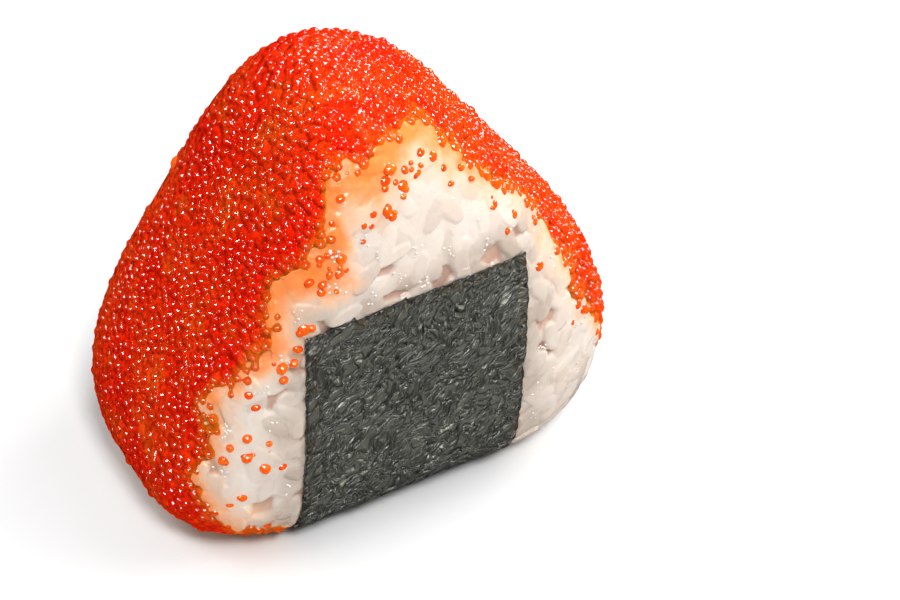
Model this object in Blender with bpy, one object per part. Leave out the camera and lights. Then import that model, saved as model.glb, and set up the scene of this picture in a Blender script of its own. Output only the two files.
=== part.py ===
"""A rice ball of the triangular kind: pressed rice, a coat of small roe over its slopes, a nori strip.

Metres, +Z up. The ball stands on its base at z = 0, over the middle of its box, and the broad face
that the strip climbs first looks along -Y. The strip runs down this face, under the base and up the back.
"""

import math
import random

import bmesh
import bpy
import numpy as np
from mathutils import Matrix, Vector, noise

MM = 0.001

# The ball is drawn round a point inside it. Each side faces its own way, leaning back by some degrees.
# Its reach is how far it would lie from that point on a pillow, and its flat how far the mould let it go.
CENTRE = np.array([-3.5, -0.9, 36.5]) * MM
LEFT = {"facing": (-1, 0), "lean": 26.0, "reach": 39.9 * MM, "flat": 26.0 * MM}
RIGHT = {"facing": (1, 0), "lean": 35.0, "reach": 31.9 * MM, "flat": 37.4 * MM}
FRONT = {"facing": (0, -1), "lean": 4.6, "reach": 31.6 * MM, "flat": 23.4 * MM}
BACK = {"facing": (0, 1), "lean": 9.3, "reach": 31.4 * MM, "flat": 23.4 * MM}
BASE = {"facing": (0, 0), "lean": -90.0, "reach": 40.9 * MM, "flat": 37.2 * MM}
RIDGE_POWER = 1.5
PILLOW_POWER = 2.2
FLAT_POWER = 6.2
BASE_POWER = 14

# The nori strip: it lies a little askew, so its middle moves sideways with each quarter turn round the ball,
# and its short edges are cut in a slight arch. A row of its grid is spent on each STRIP_BEND it turns by.
STRIP_WIDTH = 38.2 * MM
STRIP_MIDDLE = CENTRE[0] + 2.2 * MM
STRIP_SKEW = -2.2 * MM
STRIP_TOP = 44.2 * MM
STRIP_ARCH = 1.6 * MM
NORI = 0.5 * MM
WAVE_HEIGHT = 0.35 * MM
WAVE_LENGTH = 11 * MM
WAVE_FROM_FLOOR = 9 * MM
FLAT_FOOT = 0.03 * MM
STRIP_COLUMNS = 8
STRIP_ROWS = 30
STRIP_BEND = 14 * MM
STRIP_TURNS = (-60, 240)
LINE_POINTS = 1200
OUT_OF_REACH = 60 * MM

# The rice: its core lies under the grains' backs, and sinks lower under the coat.
GAP = 0.3 * MM
SPARE = 0.1 * MM
CORE_DEPTH = NORI + GAP + SPARE
COAT_THICKNESS = 2.3 * MM
SINK_OUTSIDE = 1 * MM
SINK_WIDTH = 7 * MM
CORE_FLOOR = NORI + GAP
CORE_ROWS = 8
CORE_EVENING = 25
GRAIN = (5.9 * MM, 2.8 * MM, 2.5 * MM)
GRAINS = 96
GRAIN_SPACING = 4.3 * MM

# Single beads of roe: they are half sunk in the rice, and get rarer away from the coat.
BEAD = 2.1 * MM
BEAD_PROUD = 0.3
STRAY_BEADS = 36
STRAY_REACH = 11 * MM
STRAY_ANYWAY = 2 * MM
STRAY_RARER = 1.5
STRAY_SPACING = 2.6 * MM

# The coat: lumps at every third point of a grid. A lump stands about as high as the coat is thick, and less
# near the edge. A point between lumps rises by RISES of that, for 0, 1, 2 or 3 lumps beside it. What comes
# out below zero lies under the coat's inner face and is cut away.
COAT_ROWS = 24
COAT_EVENING = 500
LUMP_HEIGHTS = (0.88, 1.04)
EDGE_HEIGHT = 0.7
EDGE_WIDTH = 10 * MM
RISES = (-1.6, -0.7, 0.3, 0.42)
LUMP_REACH = 1.9 * MM
LOWEST_LUMP = 3.6 * MM
RAGGED = 1.3 * MM
RAGGED_LENGTH = 6 * MM

# The coat's edge on the front: degrees round the ball from +X through the top, and degrees forwards.
FRONT_EDGE = (
    (-30, 16), (-10, 30), (10, 31), (28, 26), (52, 30), (78, 20),
    (98, 26), (124, 37), (140, 33), (161, 40), (189, 27), (225, 26),
)  # fmt: skip
BACK_EDGE = 30.0
BACK_EDGE_SWING = 5.0
COAT_RIGHT_END = -27.0

SEED = 11


def clear_scene():
    for old in list(bpy.data.objects):
        bpy.data.objects.remove(old, do_unlink=True)


def food_material(name, colour, roughness):
    material = bpy.data.materials.new(name)
    material.use_nodes = True
    shader = material.node_tree.nodes["Principled BSDF"]
    shader.inputs["Base Color"].default_value = (*colour, 1)
    shader.inputs["Roughness"].default_value = roughness
    shader.inputs["Metallic"].default_value = 0
    return material


def add_object(name, points, faces, material=None):
    mesh = bpy.data.meshes.new(name)
    mesh.from_pydata([tuple(point) for point in points], [], [tuple(face) for face in faces])
    thing = bpy.data.objects.new(name, mesh)
    bpy.context.scene.collection.objects.link(thing)
    if material:
        mesh.materials.append(material)
    return thing


# The ball's form


def outward(side):
    lean = math.radians(side["lean"])
    across, along = side["facing"]
    return np.array([across * math.cos(lean), along * math.cos(lean), math.sin(lean)])


def fullness(offsets):
    """1 for offsets from CENTRE that end on the ball's surface, and less inside it."""

    def pressed(sides, size, power):
        return sum((np.maximum(0, offsets @ outward(side)) / side[size]) ** power for side in sides)

    slopes = pressed((LEFT, RIGHT, BASE), "reach", RIDGE_POWER) ** (PILLOW_POWER / RIDGE_POWER)
    pillow = slopes + pressed((FRONT, BACK), "reach", PILLOW_POWER)
    flats = pressed((LEFT, RIGHT, FRONT, BACK), "flat", FLAT_POWER)
    ball = (pillow ** (FLAT_POWER / PILLOW_POWER) + flats) ** (BASE_POWER / FLAT_POWER)
    return (ball + pressed((BASE,), "flat", BASE_POWER)) ** (1 / BASE_POWER)


def ball_normals(offsets):
    step = 0.05 * MM
    slope = [fullness(offsets + step * axis) - fullness(offsets - step * axis) for axis in np.eye(3)]
    slope = np.stack(slope, axis=1)
    return slope / np.linalg.norm(slope, axis=1, keepdims=True)


def on_ball(directions, depth=0.0, floor=0.0):
    """The point in each direction from CENTRE that lies depth under the surface, and not under the floor."""
    offsets = directions / fullness(directions)[:, None]
    offsets = offsets - ball_normals(offsets) * np.reshape(depth, (-1, 1))
    low = offsets[:, 2] < floor - CENTRE[2]
    offsets[low] *= ((floor - CENTRE[2]) / offsets[low, 2])[:, None]
    return CENTRE + offsets


def geodesic(rows):
    """An icosahedron's faces cut into rows of triangles: directions, triangles, and every third point."""
    solid = bmesh.new()
    bmesh.ops.create_icosphere(solid, subdivisions=1, radius=1)
    found, directions, triangles, thirds = {}, [], [], []
    for face in solid.faces:
        corners = [np.array(vert.co) for vert in face.verts]
        index = {}
        for i in range(rows + 1):
            for j in range(rows + 1 - i):
                point = i * corners[0] + j * corners[1] + (rows - i - j) * corners[2]
                point = point / np.linalg.norm(point)
                key = tuple(np.round(point, 5) + 0.0)
                if key not in found:
                    found[key] = len(directions)
                    directions.append(point)
                    thirds.append((i - j) % 3 == 0)
                index[i, j] = found[key]
        for i in range(rows):
            for j in range(rows - i):
                triangles.append((index[i, j], index[i + 1, j], index[i, j + 1]))
                if i + j < rows - 1:
                    triangles.append((index[i + 1, j], index[i + 1, j + 1], index[i, j + 1]))
    solid.free()
    return np.array(directions), np.array(triangles), np.array(thirds)


def evened(directions, triangles, rounds):
    """Slides the points over the ball towards their neighbours' middle, so that they lie evenly on it."""
    ends = np.concatenate([triangles[:, [0, 1]], triangles[:, [1, 2]], triangles[:, [2, 0]]])
    ends = np.concatenate([ends, ends[:, ::-1]])
    count = np.bincount(ends[:, 0], minlength=len(directions))[:, None]
    for _ in range(rounds):
        points = on_ball(directions) - CENTRE
        middle = np.zeros_like(points)
        np.add.at(middle, ends[:, 0], points[ends[:, 1]])
        directions = middle / count
    return directions / np.linalg.norm(directions, axis=1, keepdims=True)


# Where the coat and the strip lie


def inside_coat(points):
    """How far each point lies inside the coat's edge, below zero outside it."""
    offsets = points - CENTRE
    far = np.linalg.norm(offsets, axis=1)
    around = (np.degrees(np.arctan2(offsets[:, 2], offsets[:, 0])) + 90) % 360 - 90
    forwards = np.degrees(np.arcsin(-offsets[:, 1] / far))
    front = np.interp(around, *zip(*FRONT_EDGE)) - forwards
    back = BACK_EDGE + BACK_EDGE_SWING * np.sin(np.radians(3 * around)) + forwards
    inside = np.radians(np.minimum.reduce([front, back, around - COAT_RIGHT_END])) * far
    ragged = [noise.noise(Vector(point) / RAGGED_LENGTH) for point in points]
    return np.minimum(inside + RAGGED * np.array(ragged), points[:, 2] - LOWEST_LUMP)


def core_depth(points):
    """The core sinks under the coat, so that the coat's outside comes level with the grains."""
    sunk = np.clip((inside_coat(points) + SINK_OUTSIDE) / SINK_WIDTH, 0, 1)
    return CORE_DEPTH + (COAT_THICKNESS + GAP - CORE_DEPTH) * sunk * sunk * (3 - 2 * sunk)


def clear_of_strip(points):
    offsets = points - CENTRE
    turn = (np.degrees(np.arctan2(-offsets[:, 2], -offsets[:, 1])) + 90) % 360 - 90
    beside = abs(points[:, 0] - strip_middle(turn)) > STRIP_WIDTH / 2 + GAP + SPARE
    above = points[:, 2] > STRIP_TOP + STRIP_ARCH + GAP + SPARE
    return beside | above


def strip_middle(turn):
    """Where the strip's middle lies across, by how far it has turned: 0 in front, 90 under the ball."""
    return STRIP_MIDDLE + STRIP_SKEW * turn / 90


def clear_of_coat(points):
    return inside_coat(points) < -LUMP_REACH - GAP


def buried(points):
    """Whether the core hides each point."""
    offsets = points - CENTRE
    return np.linalg.norm(offsets, axis=1) * (1 - fullness(offsets)) > CORE_DEPTH + GAP


# The solids


def join_by_boolean(body, pieces):
    """Fuses the pieces on to the body, then drops what floats free and fills what they seal in."""
    group = bpy.data.collections.new("pieces to fuse")
    bpy.context.scene.collection.children.link(group)
    for piece in pieces:
        bpy.context.scene.collection.objects.unlink(piece)
        group.objects.link(piece)
    union = body.modifiers.new("fuse", "BOOLEAN")
    union.operation = "UNION"
    union.operand_type = "COLLECTION"
    union.collection = group
    union.solver = "EXACT"
    apply_modifier(body, union)
    for piece in pieces:
        bpy.data.objects.remove(piece, do_unlink=True)
    bpy.data.collections.remove(group)
    keep_largest_shell(body)


def apply_modifier(thing, modifier):
    bpy.ops.object.select_all(action="DESELECT")
    bpy.context.view_layer.objects.active = thing
    bpy.ops.object.modifier_apply(modifier=modifier.name)


def keep_largest_shell(thing):
    work = bmesh.new()
    work.from_mesh(thing.data)
    bmesh.ops.triangulate(work, faces=work.faces[:])
    left, shells = set(work.verts), []
    while left:
        shell, edge = set(), {left.pop()}
        while edge:
            vert = edge.pop()
            shell.add(vert)
            edge |= {e.other_vert(vert) for e in vert.link_edges} - shell
        left -= shell
        shells.append(shell)
    largest = max(shells, key=len)
    bmesh.ops.delete(work, geom=[v for v in work.verts if v not in largest], context="VERTS")
    work.to_mesh(thing.data)
    work.free()


def core_directions():
    directions, triangles, _ = geodesic(CORE_ROWS)
    return evened(directions, triangles, CORE_EVENING), triangles


def grain_object(place, outwards, turn, length, fat):
    """One grain of rice, lying flat on the ball with its back level with the surface."""
    shape = bmesh.new()
    bmesh.ops.create_uvsphere(shape, u_segments=5, v_segments=4, radius=0.5)
    frame = Vector(outwards).to_track_quat("Z", "Y").to_matrix().to_4x4()
    size = Matrix.Diagonal((GRAIN[0] * length, GRAIN[1] * fat, GRAIN[2] * fat, 1))
    lie = frame @ Matrix.Rotation(turn, 4, "Z") @ size @ Matrix.Rotation(math.pi / 2, 4, "Y")
    sunk = Vector(place) - Vector(outwards) * GRAIN[2] * fat / 2
    bmesh.ops.transform(shape, matrix=Matrix.Translation(sunk) @ lie, verts=shape.verts)
    return finished(shape, "grain")


def bead_object(place, size):
    shape = bmesh.new()
    bmesh.ops.create_icosphere(shape, subdivisions=1, radius=size / 2)
    bmesh.ops.translate(shape, vec=place, verts=shape.verts)
    return finished(shape, "bead")


def finished(shape, name):
    """The shape as an object, lifted until it only touches the floor if it reaches lower."""
    low = min(vert.co.z for vert in shape.verts)
    bmesh.ops.translate(shape, vec=(0, 0, max(0, -low)), verts=shape.verts)
    mesh = bpy.data.meshes.new(name)
    shape.to_mesh(mesh)
    shape.free()
    thing = bpy.data.objects.new(name, mesh)
    bpy.context.scene.collection.objects.link(thing)
    return thing


def corners_of(thing):
    return np.array([vert.co for vert in thing.data.vertices])


def scattered(draws, make, wanted, spacing, allowed):
    """Makes things at random places on the ball, spaced out, and keeps those that lie where they may."""
    kept, places = [], []
    for _ in range(40 * wanted):
        if len(kept) == wanted:
            break
        direction = np.array([[draws.gauss(0, 1) for _ in range(3)]])
        place = on_ball(direction)[0]
        if any(np.linalg.norm(place - other) < spacing for other in places):
            continue
        if not allowed(place):
            continue
        thing = make(place, ball_normals(place[None] - CENTRE)[0])
        corners = corners_of(thing)
        if (buried(corners) | clear_of_strip(corners) & clear_of_coat(corners)).all():
            kept.append(thing)
            places.append(place)
        else:
            bpy.data.objects.remove(thing, do_unlink=True)
    return kept


def make_rice():
    directions, triangles = core_directions()
    depth = core_depth(on_ball(directions))
    points = on_ball(directions, depth, CORE_FLOOR)
    rice = add_object("rice", points, triangles, food_material("rice", (0.86, 0.82, 0.76), 0.35))
    draws = random.Random(SEED)

    def grain(place, outwards):
        turn = draws.uniform(0, math.pi)
        return grain_object(place, outwards, turn, draws.uniform(0.85, 1.1), draws.uniform(0.9, 1.1))

    def bead(place, outwards):
        size = BEAD * draws.uniform(0.85, 1.15)
        return bead_object(place - outwards * (CORE_DEPTH - BEAD_PROUD * size), size)

    def near_coat(place):
        away = -inside_coat(place[None])[0]
        return away < STRAY_REACH * draws.random() ** STRAY_RARER + STRAY_ANYWAY

    grains = scattered(draws, grain, GRAINS, GRAIN_SPACING, lambda place: True)
    beads = scattered(draws, bead, STRAY_BEADS, STRAY_SPACING, near_coat)
    print("grains", len(grains), "stray beads", len(beads))
    join_by_boolean(rice, grains + beads)
    return rice


def make_coat():
    """The lumpy outside of the coat, taken over the whole ball, less what lies under its inner face."""
    directions, triangles, lumps = geodesic(COAT_ROWS)
    directions = evened(directions, triangles, COAT_EVENING)
    surface = on_ball(directions)
    laid = lumps & (inside_coat(surface) > 0)
    ends = np.concatenate([triangles[:, [0, 1]], triangles[:, [1, 2]], triangles[:, [2, 0]]])
    ends = np.unique(np.sort(ends, axis=1), axis=0)
    ends = np.concatenate([ends, ends[:, ::-1]])
    beside = np.bincount(ends[:, 0], weights=laid[ends[:, 1]], minlength=len(laid)).astype(int)
    draws = np.random.default_rng(SEED)
    lump = draws.uniform(*LUMP_HEIGHTS, len(laid))
    lump *= np.clip(EDGE_HEIGHT + inside_coat(surface) / EDGE_WIDTH, EDGE_HEIGHT, 1)
    between = np.array(RISES)[np.where(lumps, 0, np.minimum(beside, 3))]
    depth = core_depth(surface) - GAP - np.where(laid, lump, between) * COAT_THICKNESS
    points = on_ball(directions, depth, GAP)
    coat = add_object("roe_coat", points, triangles, food_material("roe", (0.82, 0.08, 0.02), 0.2))
    directions, triangles = core_directions()
    depth = core_depth(on_ball(directions)) - GAP
    inner = add_object("inside of the coat", on_ball(directions, depth, CORE_FLOOR - GAP), triangles)
    cut = coat.modifiers.new("hollow", "BOOLEAN")
    cut.operation = "DIFFERENCE"
    cut.object = inner
    cut.solver = "EXACT"
    apply_modifier(coat, cut)
    bpy.data.objects.remove(inner, do_unlink=True)
    keep_largest_shell(coat)
    return coat


def strip_line(share, rows):
    """Points on the ball down the front, under the base and up the back, at this share of the strip's width."""
    turn = np.linspace(*STRIP_TURNS, LINE_POINTS)
    across = strip_middle(turn) + share * STRIP_WIDTH - CENTRE[0]
    turn = np.radians(turn)
    low, high = np.zeros_like(turn), np.full_like(turn, OUT_OF_REACH)
    for _ in range(30):
        reach = (low + high) / 2
        offsets = np.stack([across, -reach * np.cos(turn), -reach * np.sin(turn)], axis=1)
        outside = fullness(offsets) > 1
        low, high = np.where(outside, low, reach), np.where(outside, reach, high)
    under = offsets[:, 2] < -CENTRE[2]
    offsets[under, 1] *= -CENTRE[2] / offsets[under, 2]
    offsets[under, 2] = -CENTRE[2]
    line = CENTRE + offsets
    line = line[line[:, 2] <= STRIP_TOP + STRIP_ARCH * (1 - 4 * share**2)]
    steps = np.diff(line, axis=0)
    turned = np.abs(np.diff(np.unwrap(np.arctan2(steps[:, 2], steps[:, 1]))))
    along = np.linalg.norm(steps, axis=1) + np.append(0, turned) * STRIP_BEND
    along = np.append(0, np.cumsum(along))
    wanted = np.linspace(0, along[-1], rows)
    return np.stack([np.interp(wanted, along, line[:, k]) for k in range(3)], axis=1)


def make_nori():
    outer = np.stack([strip_line(share, STRIP_ROWS) for share in np.linspace(-0.5, 0.5, STRIP_COLUMNS)])
    normals = ball_normals(outer.reshape(-1, 3) - CENTRE).reshape(outer.shape)
    foot = outer[..., 2] < FLAT_FOOT
    outer[foot, 2] = 0
    normals[foot] = (0, 0, -1)
    wave = [0.5 + 0.5 * noise.noise(Vector(point) / WAVE_LENGTH) for point in outer.reshape(-1, 3)]
    wave = WAVE_HEIGHT * np.array(wave).reshape(outer.shape[:2])
    wave *= np.clip(outer[..., 2] / WAVE_FROM_FLOOR, 0, 1)
    outer = outer + normals * wave[..., None]
    inner = outer - normals * NORI
    points = np.concatenate([outer.reshape(-1, 3), inner.reshape(-1, 3)])
    index = np.arange(len(points)).reshape(2, STRIP_COLUMNS, STRIP_ROWS)
    faces = []
    for i in range(STRIP_COLUMNS - 1):
        for j in range(STRIP_ROWS - 1):
            for side, grid in enumerate(index):
                a, b, c, d = grid[i, j], grid[i + 1, j], grid[i + 1, j + 1], grid[i, j + 1]
                faces += [(a, b, d), (b, c, d)] if side else [(a, d, b), (b, d, c)]
    rim = [(i, 0) for i in range(STRIP_COLUMNS)]
    rim += [(STRIP_COLUMNS - 1, j) for j in range(1, STRIP_ROWS)]
    rim += [(i, STRIP_ROWS - 1) for i in reversed(range(STRIP_COLUMNS - 1))]
    rim += [(0, j) for j in reversed(range(1, STRIP_ROWS - 1))]
    for here, there in zip(rim, rim[1:] + rim[:1]):
        a, b, c, d = index[0][here], index[0][there], index[1][there], index[1][here]
        faces += [(a, b, c), (a, c, d)]
    return add_object("nori", points, faces, food_material("nori", (0.045, 0.06, 0.05), 0.45))


def main():
    clear_scene()
    for thing in (make_nori(), make_coat(), make_rice()):
        work = bmesh.new()
        work.from_mesh(thing.data)
        bmesh.ops.recalc_face_normals(work, faces=work.faces)
        work.to_mesh(thing.data)
        work.free()
        corners = corners_of(thing) / MM
        print(thing.name, len(thing.data.polygons), corners.min(0).round(2), corners.max(0).round(2))


main()
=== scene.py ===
# %% [markdown]
# # A crab onigiri
# This lesson dresses a rice ball: a pressed triangle of rice, a coat of small roe over its slopes and top,
# and a strip of nori that holds it from below. The solids of the three are loaded first and never changed.
# What is built here lies where they lie, so the picture and the solids stay the same size.

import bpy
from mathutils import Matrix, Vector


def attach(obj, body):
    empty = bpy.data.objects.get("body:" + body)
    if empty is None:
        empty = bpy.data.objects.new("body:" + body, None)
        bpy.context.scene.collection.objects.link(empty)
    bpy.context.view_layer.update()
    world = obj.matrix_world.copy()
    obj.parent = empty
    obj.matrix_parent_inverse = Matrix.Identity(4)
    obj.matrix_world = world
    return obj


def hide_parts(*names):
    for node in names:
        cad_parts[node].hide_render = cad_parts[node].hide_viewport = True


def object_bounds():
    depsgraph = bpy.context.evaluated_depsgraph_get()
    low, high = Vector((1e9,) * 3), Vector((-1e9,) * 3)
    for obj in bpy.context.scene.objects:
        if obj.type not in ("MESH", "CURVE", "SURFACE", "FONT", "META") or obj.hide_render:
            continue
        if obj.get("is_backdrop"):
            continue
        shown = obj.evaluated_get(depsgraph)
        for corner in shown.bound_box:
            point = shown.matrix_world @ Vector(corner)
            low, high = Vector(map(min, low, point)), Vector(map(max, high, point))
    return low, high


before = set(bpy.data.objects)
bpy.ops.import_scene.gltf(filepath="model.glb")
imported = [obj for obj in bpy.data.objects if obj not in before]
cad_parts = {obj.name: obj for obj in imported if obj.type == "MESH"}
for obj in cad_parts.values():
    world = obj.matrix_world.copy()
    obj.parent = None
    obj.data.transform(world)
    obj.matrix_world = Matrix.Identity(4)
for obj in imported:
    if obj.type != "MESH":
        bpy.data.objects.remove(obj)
solid_low, solid_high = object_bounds()
print("solids from", solid_low[:], "to", solid_high[:])

# %% Everything else that the lesson needs
import math

import bpy
import numpy as np
from mathutils import Matrix, Vector, kdtree, noise
from mathutils.bvhtree import BVHTree

# %% [markdown]
# ## The ball's form
# A mould or two hands press the ball, so it is a pillow whose broad faces are flat, whose three corners are
# round and whose base is flat. It could be sculpted by hand, but every piece below has to lie on it, so a
# formula is kinder: each side faces its own way, and a power mean of all sides rounds the ridges between.
# A reach is how far a side would lie on a pillow, and a flat is how far the mould let it go.

# %% Sizes of the ball, in millimetres as drawn
BALL_HEIGHT = 77.55
mm = solid_high.z / BALL_HEIGHT
CENTRE = np.array([-3.5, -0.9, 36.5]) * mm
LEFT = {"facing": (-1, 0), "lean": 26.0, "reach": 39.9, "flat": 26.0}
RIGHT = {"facing": (1, 0), "lean": 35.0, "reach": 31.9, "flat": 37.4}
FRONT = {"facing": (0, -1), "lean": 4.6, "reach": 31.6, "flat": 23.4}
BACK = {"facing": (0, 1), "lean": 9.3, "reach": 31.4, "flat": 23.4}
BASE = {"facing": (0, 0), "lean": -90.0, "reach": 40.9, "flat": 37.2}
RIDGE_POWER, PILLOW_POWER, FLAT_POWER, BASE_POWER = 1.5, 2.2, 6.2, 14
print("one millimetre as drawn is", round(mm, 6), "m, centre at", CENTRE.round(5))


# %% The formula
def outward(side):
    lean = math.radians(side["lean"])
    across, along = side["facing"]
    return np.array([across * math.cos(lean), along * math.cos(lean), math.sin(lean)])


def fullness(offsets):
    """1 for offsets from CENTRE that end on the ball, less inside it."""

    def pressed(sides, size, power):
        return sum((np.maximum(0, offsets @ outward(side)) / (side[size] * mm)) ** power for side in sides)

    slopes = pressed((LEFT, RIGHT, BASE), "reach", RIDGE_POWER) ** (PILLOW_POWER / RIDGE_POWER)
    pillow = slopes + pressed((FRONT, BACK), "reach", PILLOW_POWER)
    flats = pressed((LEFT, RIGHT, FRONT, BACK), "flat", FLAT_POWER)
    ball = (pillow ** (FLAT_POWER / PILLOW_POWER) + flats) ** (BASE_POWER / FLAT_POWER)
    return (ball + pressed((BASE,), "flat", BASE_POWER)) ** (1 / BASE_POWER)


def ball_normals(points):
    step = 0.05 * mm
    offsets = points - CENTRE
    slope = [fullness(offsets + step * axis) - fullness(offsets - step * axis) for axis in np.eye(3)]
    slope = np.stack(slope, axis=1)
    return slope / np.linalg.norm(slope, axis=1, keepdims=True)


def on_ball(directions, depth=0.0, floor=0.0):
    """The point in each direction from CENTRE that lies depth under the surface, and not under the floor."""
    points = CENTRE + directions / fullness(directions)[:, None]
    offsets = points - ball_normals(points) * np.reshape(depth, (-1, 1)) - CENTRE
    low = offsets[:, 2] < floor - CENTRE[2]
    offsets[low] *= ((floor - CENTRE[2]) / offsets[low, 2])[:, None]
    return CENTRE + offsets


def depth_of(points):
    """How deep each point lies under the ball's surface, below zero outside it."""
    offsets = points - CENTRE
    far = np.linalg.norm(offsets, axis=1)
    radial = far * (1 / np.maximum(fullness(offsets), 1e-6) - 1)
    slant = (offsets * ball_normals(points)).sum(axis=1) / far
    return np.minimum(radial * slant, points[:, 2])


top = on_ball(np.array([[0.0, 0.0, 1.0]]))[0]
print("top of the ball at", top.round(4), "m")

# %% [markdown]
# ## Where the roe and the strip lie
# The roe was pressed on from the sides, so it covers both slopes and the top and thins out over the broad
# faces. Its edge could be painted, but beads, rice and stain all need to know how far they are from it. So
# the edge is a short list of angles: round the ball from +X through the top, and forwards from its middle.

# %% The edge of the roe, in degrees
FRONT_EDGE = (
    (-30, 15), (-26, 21), (-20, 26), (-6, 31), (3, 32), (16, 29), (26, 25), (38, 27), (51, 30),
    (64, 28), (71, 25), (78, 19), (84, 20), (89, 23), (96, 26), (103, 24), (108, 24), (112, 31),
    (118, 35), (127, 37.5), (133, 35), (139, 33), (146, 34), (153, 37), (161, 41), (170, 38),
    (179, 33), (190, 25), (195, 29), (201, 28), (207, 25), (219, 26), (225, 26),
)  # fmt: skip
BACK_EDGE = (
    (-30, 24), (0, 28), (60, 28), (100, 27), (120, 32), (140, 39), (155, 42), (180, 42), (195, 38),
    (210, 31), (225, 26),
)  # fmt: skip
RIGHT_END = -27.0
LOWEST_ROE = 2.6 * mm
RAGGED = ((1.3 * mm, 5.5 * mm), (0.9 * mm, 2.2 * mm))


def angles_of(points):
    """Degrees round the ball, from -90 to 270, and degrees forwards of its middle."""
    offsets = points - CENTRE
    far = np.linalg.norm(offsets, axis=1)
    around = (np.degrees(np.arctan2(offsets[:, 2], offsets[:, 0])) + 90) % 360 - 90
    return around, np.degrees(np.arcsin(-offsets[:, 1] / far)), far


def inside_roe(points):
    """How far each point lies inside the edge of the roe, below zero outside it."""
    around, forwards, far = angles_of(points)
    front = np.interp(around, *zip(*FRONT_EDGE)) - forwards
    back = np.interp(around, *zip(*BACK_EDGE)) + forwards
    inside = np.radians(np.minimum.reduce([front, back, around - RIGHT_END])) * far
    for height, length in RAGGED:
        inside += height * np.array([noise.noise(Vector(point) / length) for point in points])
    return np.minimum(inside, points[:, 2] - LOWEST_ROE)


# %% The outline of the strip, which lies a little askew
STRIP_WIDTH = 38.2 * mm
STRIP_MIDDLE = CENTRE[0] + 2.2 * mm
STRIP_SKEW = -2.2 * mm
STRIP_TOP, STRIP_ARCH = 44.2 * mm, 1.6 * mm


def strip_middle(turn):
    """Where the strip's middle lies across, by how far it has turned: 0 in front, 90 under the ball."""
    return STRIP_MIDDLE + STRIP_SKEW * turn / 90


def beside_strip(points):
    """How far each point lies outside the strip's outline, below zero under it."""
    offsets = points - CENTRE
    turn = (np.degrees(np.arctan2(-offsets[:, 2], -offsets[:, 1])) + 90) % 360 - 90
    share = (points[:, 0] - strip_middle(turn)) / STRIP_WIDTH
    top = STRIP_TOP + STRIP_ARCH * (1 - 4 * np.clip(share, -0.5, 0.5) ** 2)
    return np.maximum((abs(share) - 0.5) * STRIP_WIDTH, points[:, 2] - top)


print("the top lies", (inside_roe(top[None])[0] / mm).round(1), "mm inside the roe's edge")


# %% [markdown]
# ## Helpers for modelling
# The solids come in selected, and an operator works on all that is selected, so each piece starts by
# deselecting everything. Grains and beads are modelled once, and then set down many times in one mesh.

# %% Selecting, reading and moving corners
MOST_TRIANGLES = 196000
print("a skin may have", MOST_TRIANGLES, "triangles")


def start_fresh(piece=None):
    if bpy.context.object and bpy.context.object.mode != "OBJECT":
        bpy.ops.object.mode_set(mode="OBJECT")
    bpy.ops.object.select_all(action="DESELECT")
    if piece:
        bpy.context.view_layer.objects.active = piece
        piece.select_set(True)


def name_new(name):
    piece = bpy.context.object
    piece.name = piece.data.name = name
    return piece


def corners_of(piece):
    flat = np.empty(len(piece.data.vertices) * 3)
    piece.data.vertices.foreach_get("co", flat)
    return flat.reshape(-1, 3)


def move_corners(piece, points):
    piece.data.vertices.foreach_set("co", np.asarray(points, np.float32).ravel())
    piece.data.update()


def delete_corners(piece, unwanted):
    start_fresh(piece)
    bpy.ops.object.mode_set(mode="EDIT")
    bpy.ops.mesh.select_all(action="DESELECT")
    bpy.ops.object.mode_set(mode="OBJECT")
    piece.data.vertices.foreach_set("select", np.asarray(unwanted, bool))
    bpy.ops.object.mode_set(mode="EDIT")
    bpy.ops.mesh.delete(type="VERT")
    bpy.ops.object.mode_set(mode="OBJECT")


def change(piece, kind, **settings):
    """Adds a modifier with these settings and applies it."""
    start_fresh(piece)
    modifier = piece.modifiers.new(kind.lower(), kind)
    for name, value in settings.items():
        setattr(modifier, name, value)
    bpy.ops.object.modifier_apply(modifier=modifier.name)


def join_as_skin(name, pieces, voxel, evening, hidden):
    """Joins closed pieces into one skin, without the corners for which hidden is true."""
    start_fresh(pieces[0])
    for piece in pieces:
        piece.select_set(True)
    bpy.ops.object.join()
    skin = name_new(name)
    change(skin, "REMESH", mode="VOXEL", voxel_size=voxel)
    change(skin, "SMOOTH", factor=evening, iterations=1)
    delete_corners(skin, hidden(corners_of(skin)))
    triangles = sum(len(face.vertices) - 2 for face in skin.data.polygons)
    change(skin, "DECIMATE", ratio=min(1, MOST_TRIANGLES / triangles))
    skin.data.shade_smooth()
    print(name, triangles, "triangles, thinned to", len(skin.data.polygons))
    return skin


def note_on_corners(piece, name, values):
    mark = piece.data.attributes.new(name, "FLOAT", "POINT")
    mark.data.foreach_set("value", np.asarray(values, np.float32))


def note_directions(piece, name, directions):
    mark = piece.data.attributes.new(name, "FLOAT_VECTOR", "POINT")
    mark.data.foreach_set("vector", np.asarray(directions, np.float32).ravel())


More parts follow.
